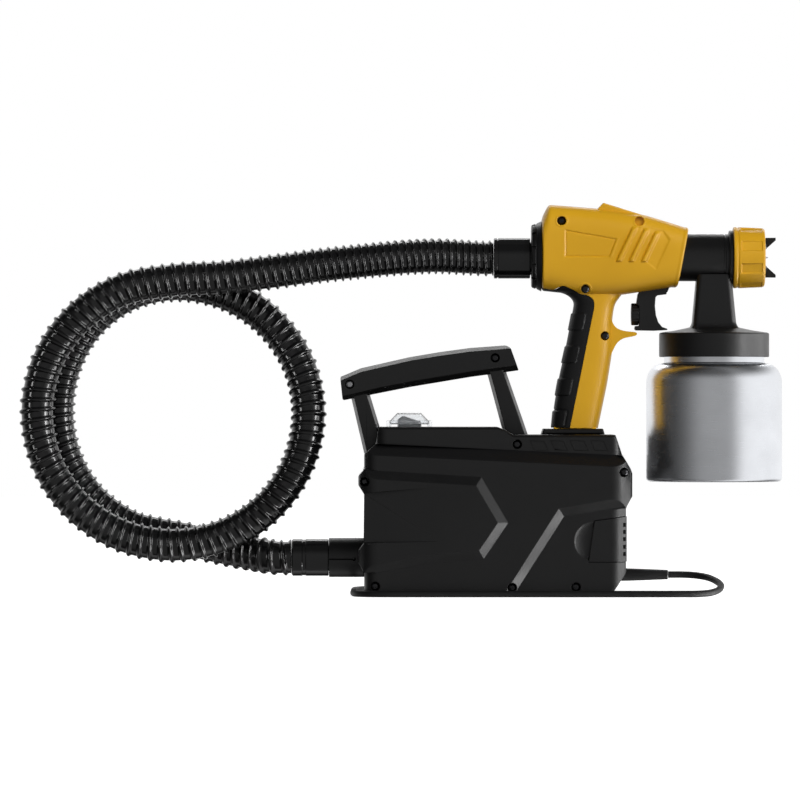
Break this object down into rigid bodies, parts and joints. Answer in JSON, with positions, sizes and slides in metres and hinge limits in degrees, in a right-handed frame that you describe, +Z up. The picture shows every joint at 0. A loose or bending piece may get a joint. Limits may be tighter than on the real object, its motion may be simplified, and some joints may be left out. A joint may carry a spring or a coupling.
{
  "type": "turbine paint sprayer",
  "caption": "Blower base with carry handle, ribbed air hose and a docked spray gun with paint cup, cap nut and horned air cap.",
  "frame": {"origin": "on the floor, under the middle of the object's box without its hose and mains lead", "axes": "+X the way the gun sprays, +Y away from the side shown in the picture, +Z up"},
  "size_m": [0.6702, 0.2562, 0.345],
  "materials": {
    "black_plastic": "fine moulded grain, satin to matte",
    "gloss_black": "glossy",
    "yellow_plastic": "fine grain, satin",
    "rubber": "matte overmould",
    "cup_aluminium": "spun, satin",
    "steel": "turned or plated",
    "dark_steel": "black zinc",
    "grey_plastic": "satin",
    "clear_plastic": "clear, glossy",
    "foam": "open cell foam",
    "circuit_board": "solder mask"
  },
  "bodies": {
    "base": {"base_shell_front": "black_plastic", "base_shell_rear": "black_plastic", "base_screw_1": "dark_steel", "base_screw_2": "dark_steel", "base_screw_3": "dark_steel", "base_screw_4": "dark_steel", "base_screw_5": "dark_steel", "base_screw_6": "dark_steel", "handle_front": "black_plastic", "handle_rear": "black_plastic", "handle_screw_1": "steel", "handle_screw_2": "steel", "dock_socket": "black_plastic", "switch_frame": "black_plastic", "switch_cover": "clear_plastic", "outlet_port": "black_plastic", "filter_foam": "foam", "motor": "steel", "turbine_housing": "black_plastic", "air_duct": "black_plastic", "motor_cradle": "rubber", "control_board": "circuit_board", "strain_relief": "black_plastic", "foot_1": "rubber", "foot_2": "rubber", "foot_3": "rubber", "foot_4": "rubber", "hose_cuff_base": "gloss_black", "hose": "gloss_black", "power_cord": "gloss_black", "cord_coil": "gloss_black", "plug": "gloss_black", "plug_pin_left": "steel", "plug_pin_right": "steel"},
    "rocker": {"switch_rocker": "grey_plastic"},
    "filter_cover": {"filter_cover": "black_plastic"},
    "impeller": {"impeller": "grey_plastic"},
    "gun": {"gun_shell_front": "yellow_plastic", "gun_shell_rear": "yellow_plastic", "gun_screw_1": "dark_steel", "gun_screw_2": "dark_steel", "gun_screw_3": "dark_steel", "grip_rubber": "rubber", "rear_collar": "black_plastic", "barrel": "black_plastic", "fluid_nozzle": "steel", "trigger_pin": "steel", "cup_lid": "black_plastic", "pickup_tube": "steel", "hose_cuff_gun": "black_plastic", "needle_spring": "steel"},
    "trigger": {"trigger": "black_plastic"},
    "needle": {"needle": "steel"},
    "flow_knob": {"flow_knob": "black_plastic"},
    "cap_nut": {"cap_nut": "yellow_plastic"},
    "air_cap": {"air_cap": "gloss_black"},
    "cup_seal": {"cup_gasket": "rubber"},
    "cup": {"paint_cup": "cup_aluminium"}
  },
  "joints": [
    {"name": "gun_lift", "type": "slide", "parent": "base", "child": "gun", "axis": [0.1483, 0, 0.9889], "range_m": [0, 0.045]},
    {"name": "trigger_pull", "type": "hinge", "parent": "gun", "child": "trigger", "pos_m": [0.11045, 0, 0.31], "axis": [0, 1, 0], "range_deg": [0, 10], "stiffness_Nm_per_rad": 0.5, "springref_deg": -11.46},
    {"name": "needle_travel", "type": "slide", "parent": "gun", "child": "needle", "axis": [-1, 0, 0], "range_m": [0, 0.0026], "deforming": ["needle_spring"]},
    {"name": "flow_turn", "type": "hinge", "parent": "trigger", "child": "flow_knob", "pos_m": [0.08645, 0, 0.247], "axis": [1, 0, 0], "range_deg": [0, 300]},
    {"name": "cap_nut_turn", "type": "hinge", "parent": "gun", "child": "cap_nut", "pos_m": [0.18545, 0, 0.2968], "axis": [1, 0, 0], "continuous": true},
    {"name": "air_cap_turn", "type": "hinge", "parent": "gun", "child": "air_cap", "pos_m": [0.19745, 0, 0.2968], "axis": [1, 0, 0], "range_deg": [0, 90]},
    {"name": "cup_drop", "type": "slide", "parent": "gun", "child": "cup_seal", "axis": [0, 0, -1], "range_m": [0, 0.0082]},
    {"name": "cup_turn", "type": "hinge", "parent": "cup_seal", "child": "cup", "pos_m": [0.15605, 0, 0.15], "axis": [0, 0, -1], "range_deg": [0, 720]},
    {"name": "rocker_tilt", "type": "hinge", "parent": "base", "child": "rocker", "pos_m": [-0.11205, 0, 0.148], "axis": [0, 1, 0], "range_deg": [0, 12]},
    {"name": "filter_cover_slide", "type": "slide", "parent": "base", "child": "filter_cover", "axis": [1, 0, 0], "range_m": [0, 0.04]},
    {"name": "impeller_spin", "type": "hinge", "parent": "base", "child": "impeller", "pos_m": [-0.02455, 0, 0.08], "axis": [1, 0, 0], "continuous": true}
  ],
  "couplings": [
    {"joint": "needle_travel", "follows": "trigger_pull", "m_per_rad": 0.0132},
    {"joint": "cup_drop", "follows": "cup_turn", "m_per_rad": 0.00063662}
  ]
}
